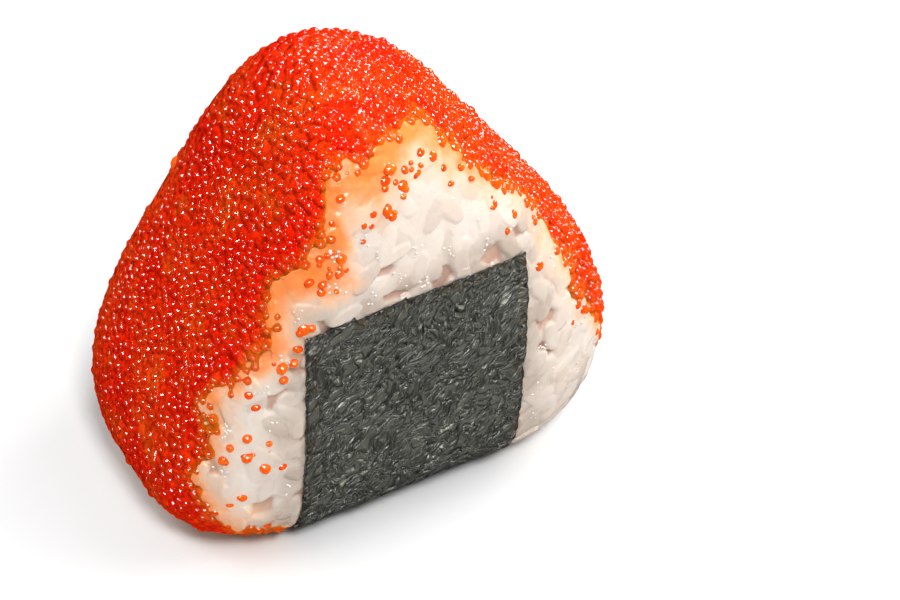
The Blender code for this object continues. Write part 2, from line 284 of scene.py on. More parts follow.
# %% Copying one shape to many places
def set_down(name, shapes, places):
    """One mesh of many copies: places are (which shape, 3x3 turn and size, middle)."""
    points, faces, owners, first = [], [], [], 0
    models = [(corners_of(s), [list(p.vertices) for p in s.data.polygons]) for s in shapes]
    for owner, (which, turn, middle) in enumerate(places):
        corners, polygons = models[which]
        points.append(corners @ np.asarray(turn).T + middle)
        faces += [[first + corner for corner in polygon] for polygon in polygons]
        owners += [owner] * len(corners)
        first += len(corners)
    mesh = bpy.data.meshes.new(name)
    mesh.from_pydata(np.concatenate(points).tolist(), [], faces)
    mesh.shade_smooth()
    piece = bpy.data.objects.new(name, mesh)
    bpy.context.scene.collection.objects.link(piece)
    print(name, len(places), "copies,", sum(len(face) - 2 for face in faces), "triangles")
    return piece, np.array(owners)


def lying(outwards, turn, sizes, nod=0.0, roll=0.0):
    """Lays a shape's Z along outwards, turned about it, tilted a little and with these sizes."""
    flat = Vector(outwards).to_track_quat("Z", "Y").to_matrix()
    tilt = Matrix.Rotation(turn, 3, "Z") @ Matrix.Rotation(nod, 3, "Y") @ Matrix.Rotation(roll, 3, "X")
    return np.array(flat @ tilt) @ np.diag(sizes)


# %% [markdown]
# ## Spreading things over the ball
# Grains and beads lie at random but never twice in one place. Throwing darts and keeping those that are far
# enough from the others gives that, and a few rounds of pushing neighbours apart packs them like real ones.

# %% Darts, then pushing apart
NEXT_CELLS = [(i, j, k) for i in (-1, 0, 1) for j in (-1, 0, 1) for k in (-1, 0, 1)]
print("a dart looks into", len(NEXT_CELLS), "cells for its neighbours")


def darts(draws, spacing, allowed, throws):
    """Random points on the ball that are allowed and at least spacing apart."""
    points = on_ball(draws.normal(size=(throws, 3)))
    taken, kept = {}, []
    for point in points[allowed(points)]:
        i, j, k = (point // spacing).astype(int)
        near = [other for a, b, c in NEXT_CELLS for other in taken.get((i + a, j + b, k + c), ())]
        if not near or (((point - near) ** 2).sum(axis=1) >= spacing**2).all():
            taken.setdefault((i, j, k), []).append(point)
            kept.append(point)
    return np.array(kept)


def pushed_apart(points, spacing, rounds):
    for _ in range(rounds):
        tree = kdtree.KDTree(len(points))
        for index, point in enumerate(points):
            tree.insert(point, index)
        tree.balance()
        moved = points.copy()
        for index, point in enumerate(points):
            for _, other, far in tree.find_range(point, spacing):
                if other != index:
                    moved[index] += (point - points[other]) / max(far, 1e-9) * (spacing - far) * 0.35
        points = on_ball(moved - CENTRE)
    return points


# %% [markdown]
# ## Writing materials
# A material is a graph of nodes, and a graph is easier to read as a sum. This small class wraps a socket so
# that plus, minus, times and abs add Math nodes, and one method adds every other kind of node.

# %% A socket that can be calculated with
class Value:
    def __init__(self, finish, socket):
        self.finish, self.socket = finish, socket

    def math(self, operation, first, second):
        return self.finish.node("ShaderNodeMath", {"operation": operation}, {0: first, 1: second})

    def __add__(self, other):
        return self.math("ADD", self, other)

    def __mul__(self, other):
        return self.math("MULTIPLY", self, other)

    def __sub__(self, other):
        return self.math("SUBTRACT", self, other)

    def __rsub__(self, other):
        return self.math("SUBTRACT", other, self)

    def __abs__(self):
        return self.math("ABSOLUTE", self, 0)

    __radd__, __rmul__ = __add__, __mul__

    def between(self, low, high):
        """0 under low, 1 over high, and smooth in between."""
        inputs = {"Value": self, "From Min": low, "From Max": high}
        return self.finish.node("ShaderNodeMapRange", {"interpolation_type": "SMOOTHSTEP"}, inputs)


class Finish:
    """A material under construction."""

    def __init__(self, name):
        self.material = bpy.data.materials.new(name)
        self.material.use_nodes = True
        self.tree = self.material.node_tree
        self.shader = self.tree.nodes["Principled BSDF"]

    def fill(self, socket, value):
        if isinstance(value, Value):
            self.tree.links.new(value.socket, socket)
        elif isinstance(value, tuple) and socket.type == "RGBA":
            socket.default_value = (*value, 1)
        else:
            socket.default_value = value

    def node(self, kind, settings=None, inputs=None, output=0):
        made = self.tree.nodes.new(kind)
        for name, value in (settings or {}).items():
            setattr(made, name, value)
        for name, value in (inputs or {}).items():
            self.fill(made.inputs[name], value)
        return Value(self, made.outputs[output])

    def where(self):
        return self.node("ShaderNodeTexCoord", output="Object")

    def note(self, name, output="Fac"):
        return self.node("ShaderNodeAttribute", {"attribute_name": name}, output=output)

    def noise(self, size, detail=3.0, roughness=0.5, where=None, distortion=0.0):
        inputs = {"Vector": where or self.where(), "Scale": 1 / size, "Detail": detail}
        inputs |= {"Roughness": roughness, "Distortion": distortion}
        return self.node("ShaderNodeTexNoise", {}, inputs, output="Fac")

    def mix(self, share, first, second):
        return self.node("ShaderNodeMix", {"data_type": "RGBA"}, {0: share, 6: first, 7: second}, output=2)

    def bump(self, height, distance, strength=1.0):
        inputs = {"Height": height, "Distance": distance, "Strength": strength}
        return self.node("ShaderNodeBump", {}, inputs)

    def set(self, **sockets):
        for name, value in sockets.items():
            self.fill(self.shader.inputs[name.replace("_", " ")], value)


def screen(red, green, blue):
    """A colour as a picture shows it, 0 to 255, as the light it stands for."""
    shares = (red / 255, green / 255, blue / 255)
    return tuple(((share + 0.055) / 1.055) ** 2.4 if share > 0.04 else share / 12.92 for share in shares)


def rounded(colour):
    return [round(share, 3) for share in colour]


print("white rice as light:", rounded(screen(240, 232, 222)))

# %% [markdown]
# ## The camera
# The photo looks down at the ball from its front left. A long lens was used, because the ball's far side is
# hardly smaller than its near one. The ball is left of the middle of the picture. A shifted lens would put it
# there, and so does a camera turned by two degrees about its own upright, without rolling.

# %% Set up the camera
AZIMUTH, ELEVATION = math.radians(27.6), math.radians(43.4)
PICTURE_WIDTH, PICTURE_HEIGHT = 900, 600
PIXELS_PER_MM = 6.442
CAMERA_DISTANCE = 426.9 * mm
LOOK_HEIGHT = 29.9 * mm
BALL_AT = (337.4, 287.7)
target = Vector((CENTRE[0], CENTRE[1], LOOK_HEIGHT))
across = Vector((math.cos(AZIMUTH), -math.sin(AZIMUTH), 0))
backward = Vector((0, 0, math.sin(ELEVATION)))
backward += math.cos(ELEVATION) * Vector((-math.sin(AZIMUTH), -math.cos(AZIMUTH), 0))
upward = backward.cross(across)
camera_place = target + backward * CAMERA_DISTANCE
aim = target + across * (PICTURE_WIDTH / 2 - BALL_AT[0]) / PIXELS_PER_MM * mm
aim += upward * (BALL_AT[1] - PICTURE_HEIGHT / 2) / PIXELS_PER_MM * mm
back_axis = (camera_place - aim).normalized()
side_axis = (across - back_axis * across.dot(back_axis)).normalized()
camera_data = bpy.data.cameras.new("camera")
camera_data.sensor_width = 36
camera_data.lens = PIXELS_PER_MM * CAMERA_DISTANCE / mm / PICTURE_WIDTH * camera_data.sensor_width
camera_data.clip_start, camera_data.clip_end = 0.01, 20
camera = bpy.data.objects.new("camera", camera_data)
axes = Matrix((side_axis, back_axis.cross(side_axis), back_axis)).transposed()
camera.matrix_world = Matrix.Translation(camera_place) @ axes.to_4x4()
bpy.context.scene.collection.objects.link(camera)
bpy.context.scene.camera = camera
print("lens", round(camera_data.lens, 1), "mm")

# %% [markdown]
# ## The rice
# Pressed rice is one sticky mass: its outer grains lie flat and flush like shingles, each a little clearer or
# whiter than the next, and here and there a small hollow is left, where the finish paints shade darker and
# pinkish. A texture can't show those crisp outlines. So real grains are laid close on a core, each is pressed
# flat at a level of its own, and a voxel remesh joins them into one skin, through which light can spread as
# it does in the real mass.

# %% One grain
GRAIN_LENGTH, GRAIN_WIDTH, GRAIN_HEIGHT = 6.2 * mm, 3.0 * mm, 2.5 * mm
start_fresh()
bpy.ops.mesh.primitive_uv_sphere_add(segments=14, ring_count=12, radius=0.5)
grain = name_new("grain")
bpy.ops.object.mode_set(mode="EDIT")
bpy.ops.mesh.select_all(action="SELECT")
bpy.ops.transform.rotate(value=math.pi / 2, orient_axis="Y", center_override=(0, 0, 0))
bpy.ops.object.mode_set(mode="OBJECT")
body = corners_of(grain)
blunt = np.sign(body) * abs(body) ** np.array([0.8, 1, 1]) * np.array([0.5**0.2, 1, 1])
blunt[:, 1] += 0.16 * (0.25 - blunt[:, 0] ** 2)
move_corners(grain, blunt)
print("grain", len(grain.data.polygons), "faces")

# %% Where the hollows are
GRAINS_UNDER_ROE, GRAINS_UNDER_STRIP = 2.5 * mm, 2.2 * mm
HOLLOW_SPACING, NEAR_STRIP, CHANCE_NEAR, CHANCE_AWAY = 6 * mm, 5, 0.75, 0.2
draws = np.random.default_rng(5)


def bare_rice(points):
    return (inside_roe(points) < GRAINS_UNDER_ROE) & (beside_strip(points) > -GRAINS_UNDER_STRIP)


hollows = darts(draws, HOLLOW_SPACING, bare_rice, 6000)
chance = np.where(beside_strip(hollows) / mm < NEAR_STRIP, CHANCE_NEAR, CHANCE_AWAY)
hollows = hollows[draws.uniform(0, 1, len(hollows)) < chance]
print("hollows", len(hollows))

# %% The mass between the grains, which reaches almost up to them and dips in the hollows
MASS_DEPTH, HOLLOW_DEPTH, HIDDEN_DEPTH, CORE_DEEPER = 0.24 * mm, 1.0 * mm, 1.6 * mm, 0.45 * mm
WAVE_LENGTH, WAVE_HEIGHT, HOLLOW_RADIUS, HOLLOW_RIM = 3.5 * mm, 0.16 * mm, 2.6 * mm, 0.6 * mm
start_fresh()
bpy.ops.mesh.primitive_ico_sphere_add(subdivisions=6, radius=1)
rice_core = name_new("rice_core")
directions = corners_of(rice_core)
places = on_ball(directions)


def to_hollow(points):
    return np.array([np.linalg.norm(hollows - point, axis=1).min() for point in points])


waves = np.array([noise.noise(Vector(place) / WAVE_LENGTH) for place in places])
dip = np.clip((HOLLOW_RADIUS - to_hollow(places)) / HOLLOW_RIM, 0, 1)
depth = (MASS_DEPTH + WAVE_HEIGHT * waves) * (1 - dip) + HOLLOW_DEPTH * dip
hidden = np.clip(np.maximum(inside_roe(places), -beside_strip(places)) / (1.5 * mm), 0, 1)
depth = np.maximum(depth, HIDDEN_DEPTH * hidden)
mass = rice_core.copy()
mass.data = rice_core.data.copy()
bpy.context.scene.collection.objects.link(mass)
move_corners(mass, on_ball(directions, depth, 0.6 * mm))
move_corners(rice_core, on_ball(directions, depth + CORE_DEEPER, 1.0 * mm))
rice_core.data.shade_smooth()
print("core", len(rice_core.data.polygons), "faces")

# %% Lay the grains
GRAIN_SPACING, HOLLOW_REACH, GRAIN_SUNK = 2.6 * mm, 2.1 * mm, 0.28
middles = pushed_apart(darts(draws, GRAIN_SPACING * 0.85, bare_rice, 16000), GRAIN_SPACING, 4)
middles = middles[to_hollow(middles) > HOLLOW_REACH]
levels = draws.uniform(-0.05, 0.55, len(middles)) * mm
laid = []
for middle, level, outwards in zip(middles, levels, ball_normals(middles)):
    sizes = np.array([GRAIN_LENGTH, GRAIN_WIDTH, GRAIN_HEIGHT]) * draws.uniform(0.85, 1.12, 3)
    turn = lying(outwards, draws.uniform(0, 2 * math.pi), sizes, draws.normal(0, 0.06), draws.normal(0, 0.15))
    laid.append((0, turn, middle - outwards * (level + sizes[2] * GRAIN_SUNK)))
grains, owners = set_down("rice_grains", [grain], laid)

# %% Press each grain almost flat at its level, and flat and deeper under the strip and the roe
SOFTNESS, UNDER_STRIP, UNDER_ROE = 0.82, 0.75 * mm, 1.3 * mm
STRIP_SLOPE, ROE_SLOPE_FROM, ROE_SLOPE = 0.8 * mm, 0.2 * mm, 1.5 * mm
points = corners_of(grains)
under_strip = np.clip(0.5 - beside_strip(points) / STRIP_SLOPE, 0, 1)
under_roe = np.clip((inside_roe(on_ball(points - CENTRE)) - ROE_SLOPE_FROM) / ROE_SLOPE, 0, 1)
for wanted, share in ((levels[owners], SOFTNESS), (UNDER_STRIP * under_strip, 1), (UNDER_ROE * under_roe, 1)):
    short = np.maximum(0, wanted - depth_of(points)) * share
    points = points - ball_normals(points) * short[:, None]
points[:, 2] = np.maximum(points[:, 2], 0.1 * mm)
move_corners(grains, points)
print("corners pressed under the roe:", int((short > 0).sum()), "of", len(points))

# %% Join grains and mass into one skin
VOXEL = 0.23 * mm
SKIN_UNDER_ROE, SKIN_UNDER_STRIP, SKIN_DEPTH = 2.2 * mm, 1.5 * mm, 2.2 * mm
nearest_grain = BVHTree.FromPolygons(points.tolist(), [list(face.vertices) for face in grains.data.polygons])
grain_faces = len(grain.data.polygons)


def out_of_sight(points):
    under_roe = inside_roe(on_ball(points - CENTRE)) > SKIN_UNDER_ROE
    return under_roe | (beside_strip(points) < -SKIN_UNDER_STRIP) | (depth_of(points) > SKIN_DEPTH)


rice_grains = join_as_skin("rice_grains", [grains, mass], VOXEL, 0.25, out_of_sight)

# %% [markdown]
# ## The finish of rice
# Cooked rice is milky, a little see-through and wet in places. It is stained by the juice beside the roe, and
# shade is painted on it: greyer beside the strip, and darker and pinkish in its hollows. A texture alone
# knows nothing of strip and roe, so how far each corner lies from them is kept on the mesh, and the colours
# are mixed by that and by noise. The juice stains less at the sides of the ball than at its top, so CLEANER
# moves the stain back or forth, in millimetres by degrees round the ball.

# %% Mark tone, depth, and nearness to strip and roe
CLEANER = ((20, 2.5), (60, 1.0), (85, -2.5), (120, -3.5), (150, -1.0), (200, 1.5))
MASS_TONE = 0.25
tones = draws.uniform(0, 1, len(laid))
for piece in (rice_core, rice_grains):
    places = corners_of(piece)
    found = [nearest_grain.find_nearest(place) for place in places]
    tone = np.array([tones[face // grain_faces] if far < VOXEL else MASS_TONE for _, _, face, far in found])
    note_on_corners(piece, "tone", tone)
    note_on_corners(piece, "depth", depth_of(places) / mm)
    note_on_corners(piece, "strip_away", beside_strip(places) / mm)
    cleaner = np.interp(angles_of(places)[0], *zip(*CLEANER))
    note_on_corners(piece, "roe_away", cleaner - inside_roe(on_ball(places - CENTRE)) / mm)
print("marked", len(rice_grains.data.vertices), "corners of the grains")

# %% Colours of rice
RICE_WHITE, RICE_CLEAR, RICE_WARM = screen(222, 210, 199), screen(202, 185, 172), screen(218, 201, 185)
# The grey is shade painted on the rice beside the strip.
RICE_SHADE_GREY = screen(178, 162, 148)
# The hollow colour is shade painted into the hollows between the grains.
PEACH, ORANGE_STAIN, HOLLOW_SHADE = screen(240, 184, 140), screen(242, 134, 56), screen(188, 152, 134)
print("rice from", rounded(RICE_WHITE), "to", rounded(RICE_SHADE_GREY))


# %% Mix the colours of rice
def rice_finish():
    finish = Finish("cooked rice")
    colour = finish.mix(finish.note("tone").between(0.3, 1.0) * 0.8, RICE_WHITE, RICE_CLEAR)
    colour = finish.mix(finish.noise(7 * mm, 2.0).between(0.4, 0.7) * 0.6, colour, RICE_WARM)
    seen = finish.note("roe_away").between(-5, -3)
    shade_beside_strip = 1 - (finish.note("strip_away") + (finish.noise(6 * mm, 2.0) - 0.5) * 8).between(1, 8)
    # Painted shade: the rice beside the strip is greyed, and the clearer grains more so.
    colour = finish.mix(shade_beside_strip * (0.5 + 0.5 * finish.note("tone")), colour, RICE_SHADE_GREY)
    away = finish.note("roe_away") + (finish.noise(4 * mm, 3.0) - 0.5) * 7
    # Painted shade: the deeper a corner lies in a hollow, the darker and pinker it is.
    colour = finish.mix(finish.note("depth").between(0.5, 0.85) * 0.9 * seen, colour, HOLLOW_SHADE)
    colour = finish.mix((1 - away.between(1, 7.5)) * 0.9 * seen, colour, PEACH)
    colour = finish.mix((1 - away.between(-0.5, 4)) * 0.95 * seen, colour, ORANGE_STAIN)
    wet = finish.noise(4 * mm, 2.0).between(0.45, 0.6)
    finish.set(Base_Color=colour, Roughness=0.5 - wet * 0.3, IOR=1.33)
    finish.set(Normal=finish.bump(finish.noise(0.8 * mm, 2.0), 0.05 * mm, 0.8))
    finish.set(Subsurface_Weight=0.4, Subsurface_Radius=(1.0, 0.8, 0.65), Subsurface_Scale=0.6 * mm)
    return finish.material


rice_material = rice_finish()
for piece in (rice_core, rice_grains):
    piece.data.materials.append(rice_material)
print(rice_material.name, len(rice_material.node_tree.nodes), "nodes")

# %% [markdown]
# ## Drops of moisture
# Warm rice sweats, and clusters of tiny drops sparkle on it. A rough glossy finish would make a haze of them,
# so they are small domes of their own, in clusters, and kept off the roe and the strip.

# %% One drop, without the half that would lie in the rice
drop_draws = np.random.default_rng(8)
start_fresh()
bpy.ops.mesh.primitive_uv_sphere_add(segments=8, ring_count=10, radius=0.5)
drop = name_new("drop")
delete_corners(drop, corners_of(drop)[:, 2] < 0.1)
print("drop", len(drop.data.polygons), "faces")

# %% Where the drops gather
CLUSTER_SPACING, CLUSTER_SPREAD = 5 * mm, 0.7 * mm
FROM_ROE, FROM_STRIP, FROM_FLOOR = 2 * mm, 1.2 * mm, 3 * mm


def open_rice(points):
    beside = (inside_roe(points) < -FROM_ROE) & (beside_strip(points) > FROM_STRIP)
    return beside & (points[:, 2] > FROM_FLOOR)


clusters = darts(drop_draws, CLUSTER_SPACING, open_rice, 3000)
spots = np.repeat(clusters, drop_draws.integers(3, 11, len(clusters)), axis=0)
spots = on_ball(spots + drop_draws.normal(0, CLUSTER_SPREAD, spots.shape) - CENTRE)
spots = spots[open_rice(spots)]
print("clusters of drops", len(clusters))

# %% Lay the drops
places = []
for spot, outwards in zip(spots, ball_normals(spots)):
    wide = drop_draws.uniform(0.35, 0.62) * mm
    sizes = wide * np.array([1, drop_draws.uniform(0.7, 1), 0.75])
    turn = lying(outwards, drop_draws.uniform(0, math.pi), sizes)
    places.append((0, turn, spot - outwards * (wide * 0.14 + 0.1 * mm)))
drops, _ = set_down("rice_moisture", [drop], places)
wet_finish = Finish("moisture on rice")
wet_finish.set(Base_Color=RICE_WHITE, Roughness=0.12, IOR=1.6)
drops.data.materials.append(wet_finish.material)

# %% [markdown]
# ## The roe
# Each bead is a clear skin round orange-red juice, almost two millimetres across, and the beads lie side by
# side in a thin glossy jelly. Beads could be a bump on a red skin, but their outline shows all round the
# ball and each carries its own small light. So a bed of jelly comes first, and real beads are pressed in.
# On the right slope the jelly lies deeper, and the beads stand out of it more.

# %% The jelly under the beads, which ends in a thin film and dives under the rice beyond it
FILM_DEPTH, FILM_REACH, JELLY_HIDDEN = 0.1 * mm, 0.8 * mm, 1.6 * mm
JELLY_DEPTH, JELLY_LUMPS = ((55, 0.4), (100, 0.0)), 0.1 * mm
start_fresh()
bpy.ops.mesh.primitive_ico_sphere_add(subdivisions=7, radius=1)
jelly = name_new("jelly")
directions = corners_of(jelly)
surface = on_ball(directions)
lumps = np.array([noise.noise(Vector(point) / (1.2 * mm)) for point in surface])
inside = inside_roe(surface) + 0.9 * mm * lumps
share = np.clip(inside / (1.8 * mm), 0, 1)
jelly_depth = np.interp(angles_of(surface)[0], *zip(*JELLY_DEPTH)) * mm
depth = FILM_DEPTH + (jelly_depth - FILM_DEPTH + JELLY_LUMPS * lumps) * share
depth += JELLY_HIDDEN * np.clip(-inside / FILM_REACH, 0, 1)
move_corners(jelly, on_ball(directions, depth, 0.6 * mm))
print("jelly", len(jelly.data.polygons), "faces")

# %% One bead
start_fresh()
bpy.ops.mesh.primitive_uv_sphere_add(segments=12, ring_count=10, radius=0.5)
bead = name_new("bead")
print("bead", len(bead.data.polygons), "faces")

# %% [markdown]
# ## Where the beads lie
# Inside the coat the beads touch. Past its edge they come loose in small groups that get rarer, and some stay
# stuck together in twos and threes. Even chance would look like measles. So the chance that a bead is kept
# falls with its way from the edge and swings with a slow noise, and the beads that stand out are listed.

# %% Pack them, and thin them out past the edge
BEAD, BEAD_SPACING, SCATTER, GROUP = 1.8 * mm, 1.55 * mm, 11 * mm, 4.5 * mm
THINNING = ((60, 3.5), (100, 3.5), (135, 5.5), (190, 6.5), (215, 4.5))
bead_draws = np.random.default_rng(21)


def near_roe(points):
    return inside_roe(points) > -SCATTER


beads = pushed_apart(darts(bead_draws, BEAD_SPACING * 0.84, near_roe, 60000), BEAD_SPACING * 1.02, 8)
bead_inside = inside_roe(beads)
patches = np.array([noise.noise(Vector(point) / GROUP) for point in beads])
thinning = np.interp(angles_of(beads)[0], *zip(*THINNING)) * mm
chance = np.clip(0.9 + bead_inside / thinning, 0.015, 0.8) * np.clip(1 + 5 * patches, 0, 2)
chance = np.where(bead_inside > -0.1 * mm, 1.0, np.where(bead_inside < -4 * mm, chance / 3, chance))
kept = bead_draws.uniform(0, 1, len(beads)) < chance
kept &= beside_strip(beads) > 1.0 * mm
beads, bead_inside = beads[kept], bead_inside[kept]
print("beads", len(beads), "of which in the coat", int((bead_inside > -0.1 * mm).sum()))

# %% The strays that stand out: degrees round, degrees forwards, size in millimetres
STRAYS = (
    (149.5, 48, 2.3), (160, 49, 1.5), (170, 46, 2.1), (175.5, 47, 1.5), (181.5, 38.5, 1.7),
    (186.5, 40.5, 1.9),
    (197, 38, 1.6), (202.5, 42, 1.1), (206, 41, 1.3), (199, 34, 1.4), (211, 39, 2.4), (215.5, 41.5, 1.6),
    (204, 37, 2.0), (202.5, 32, 1.7), (122, 38.5, 1.7), (116, 42, 1.9), (120, 45, 2.0), (123.5, 43.5, 1.6),
    (126.5, 48.5, 1.1), (128, 44, 1.6), (131, 41, 1.9), (131, 45.5, 1.6), (103.5, 38, 1.9), (99.5, 36.5, 1.9),
    (106, 41.5, 1.0), (106.5, 30, 1.6), (112, 33.5, 1.3), (77, 28, 2.0), (81, 27, 1.5), (73, 30.5, 1.3),
    (66, 30, 1.3), (61, 32, 1.2), (70, 34, 1.3), (88, 33, 1.9), (91, 29, 2.4), (86.5, 30, 1.8), (93, 31, 1.8),
    (82.5, 31, 1.6), (94.5, 37, 2.3), (93, 39, 1.7), (46.5, 36, 1.7), (34, 40, 1.2), (19, 27.5, 1.8),
    (9, 39, 2.3), (216, 32.5, 2.1), (216.5, 30, 1.7), (143.5, -34.8, 2.6),
)  # fmt: skip
around, forwards, stray_sizes = np.array(STRAYS).T
around, forwards, stray_sizes = np.radians(around), np.radians(forwards), stray_sizes * mm
placed = on_ball(np.stack([np.cos(around), -np.tan(forwards), np.sin(around)], axis=1))
print("strays listed", len(placed))

# %% Stick up to two smaller beads to each large one
LARGE_STRAY, BESIDE = 1.4 * mm, 0.42
beside = np.repeat(np.arange(len(STRAYS)), bead_draws.integers(0, 3, len(STRAYS)))
beside = beside[stray_sizes[beside] > LARGE_STRAY]
touching = placed[beside] + bead_draws.normal(0, BESIDE, (len(beside), 3)) * stray_sizes[beside][:, None]
placed = np.concatenate([placed, on_ball(touching - CENTRE)])
stray_sizes = np.append(stray_sizes, stray_sizes[beside] * bead_draws.uniform(0.4, 0.75, len(beside)))
print("strays with the small ones", len(placed))

# %% Clear the scattered beads round them
CLEARING, STRAY_INSIDE = 1.9 * mm, -4 * mm
clear = np.array([min(np.linalg.norm(placed - spot, axis=1)) > CLEARING for spot in beads])
clear |= bead_inside > 0
beads = np.concatenate([beads[clear], placed])
bead_inside = np.concatenate([bead_inside[clear], np.full(len(placed), STRAY_INSIDE)])
size_given = np.append(np.zeros(clear.sum()), stray_sizes)
print("beads in all", len(beads))


# %% Set the beads down
def lay_beads(name, wanted, size, spread, sunk, squeeze):
    """Beads of about this size, each sunk by a share of its width and squeezed at most so much."""
    places = []
    rows = zip(beads[wanted], ball_normals(beads[wanted]), size_given[wanted], sunk[wanted])
    for point, outwards, given, down in rows:
        wide = given or size * np.clip(bead_draws.normal(1, spread), 0.5, 1.3)
        sizes = wide * np.array([bead_draws.uniform(squeeze, 1), 1, bead_draws.uniform(squeeze, 1)])
        turn = lying(outwards, bead_draws.uniform(0, math.pi), sizes)
        lowered = down * wide + bead_draws.normal(0, 0.15 * mm)
        places.append((0, turn, point - outwards * lowered))
    return set_down(name, [bead], places)[0]


COAT_REACH, STRAY_SUNK = 6 * mm, 0.24
SUNK = ((60, 0.31), (110, 0.39))
coat = (bead_inside > -COAT_REACH) & (size_given == 0)
sunk = np.interp(angles_of(beads)[0], *zip(*SUNK))
coat_beads = lay_beads("coat beads", coat, BEAD, 0.12, sunk, 0.92)
roe_strays = lay_beads("roe_strays", ~coat, BEAD * 0.85, 0.22, np.full(len(beads), STRAY_SUNK), 0.72)

# %% [markdown]
# ## The coat's skin
# Beads and jelly are one wet body, and light spreads through it from bead to bead. Separate balls would show
# dark seams, so a voxel remesh joins them. What the finish needs to know, such as where the coat is thin, is
# then marked on the corners.

# %% Join the coat's beads and its jelly
COAT_SKIN_DEPTH, COAT_FROM_FLOOR = 1.15 * mm, 1.4 * mm


def under_the_rice(points):
    return (depth_of(points) > COAT_SKIN_DEPTH) | (on_ball(points - CENTRE)[:, 2] < COAT_FROM_FLOOR)


roe_coat = join_as_skin("roe_coat_skin", [coat_beads, jelly], 0.25 * mm, 0.3, under_the_rice)

# %% Mark tint, thinness with painted light on the right slope, and depth
THIN_WITHIN = 2.6 * mm
nearest_bead = kdtree.KDTree(len(beads))
for index, spot in enumerate(beads):
    nearest_bead.insert(spot, index)
nearest_bead.balance()
tints = bead_draws.uniform(0, 1, len(beads))
for piece in (roe_coat, roe_strays):
    points = corners_of(piece)
    nearest = np.array([nearest_bead.find(point)[1] for point in points])
    note_on_corners(piece, "tint", tints[nearest])
    thin_at_edge = 1 - inside_roe(on_ball(points - CENTRE)) / THIN_WITHIN
    # The right slope is marked as thin: partly its thinner coat, partly painted light, as that side is lit
    # more.
    thin_and_lit_at_right = np.clip((75 - angles_of(points)[0]) / 40, 0, 0.36)
    note_on_corners(piece, "thin_and_lit", np.clip(np.maximum(thin_at_edge, thin_and_lit_at_right), 0, 1.4))
    note_on_corners(piece, "depth", depth_of(points) / mm)
print("marked", len(roe_coat.data.vertices), "corners of the coat")

# %% [markdown]
# ## The small light on each bead
# A bead in the coat shows one small round light and hardly an outline, because its clear skin mirrors like a
# ball while the juice inside glows evenly. One set of normals can't give both. So the mesh gets normals that
# turn about each bead's middle, for the clear skin, and a second set, almost the ball's own, is kept as an
# attribute for the juice. Normals that fan out more mirror a smaller light: that is LENS_POWER.

# %% Normals for the mirror, and normals for the juice
EVENNESS = 0.95
LENS_POWER = ((75, 1.1), (120, 1.9))
BEAD_REACH = 0.72 * BEAD
points = corners_of(roe_coat)
lens_power = np.interp(angles_of(points)[0], *zip(*LENS_POWER))[:, None]
outwards = ball_normals(points)
middle_of_bead = beads - ball_normals(beads) * sunk[:, None] * BEAD
to_middle = points - middle_of_bead[np.array([nearest_bead.find(point)[1] for point in points])]
far = np.linalg.norm(to_middle, axis=1, keepdims=True)
upright = (to_middle * outwards).sum(axis=1, keepdims=True) * outwards
lens = upright + lens_power * (to_middle - upright)
own = np.array([vertex.normal[:] for vertex in roe_coat.data.vertices])
on_bead = far < BEAD_REACH
mirror = np.where(on_bead, lens / np.linalg.norm(lens, axis=1, keepdims=True), own)
roe_coat.data.normals_split_custom_set_from_vertices(mirror.tolist())
even = EVENNESS * outwards + (1 - EVENNESS) * mirror
note_directions(roe_coat, "even", even / np.linalg.norm(even, axis=1, keepdims=True))
note_on_corners(roe_coat, "upright", (mirror * outwards).sum(axis=1) * on_bead[:, 0])
print("round normals on", int(on_bead.sum()), "of", len(points), "corners")

# %% [markdown]
# ## The finish of roe
# The juice lets light spread, red the farthest, and the clear skin is a glossy coat over it. The colour is a
# deep red-orange that turns orange in patches and towards the edge, where the coat is thin and rice shines
# through. The right slope is painted more orange too, partly for its thinner coat and partly as painted
# light.
# The rims of loose beads are painted darker as shade. Glass beads with juice in them would be truer, but far
# slower, and could not be baked.

# %% Colours of roe
ROE_DEEP, ROE_RED, ROE_ORANGE = screen(252, 28, 8), screen(255, 58, 14), screen(255, 118, 26)
# The rim colour is shade painted round the edge of each loose bead.
ROE_RIM_SHADE = screen(224, 66, 10)
print("roe from", rounded(ROE_DEEP), "to", rounded(ROE_ORANGE))


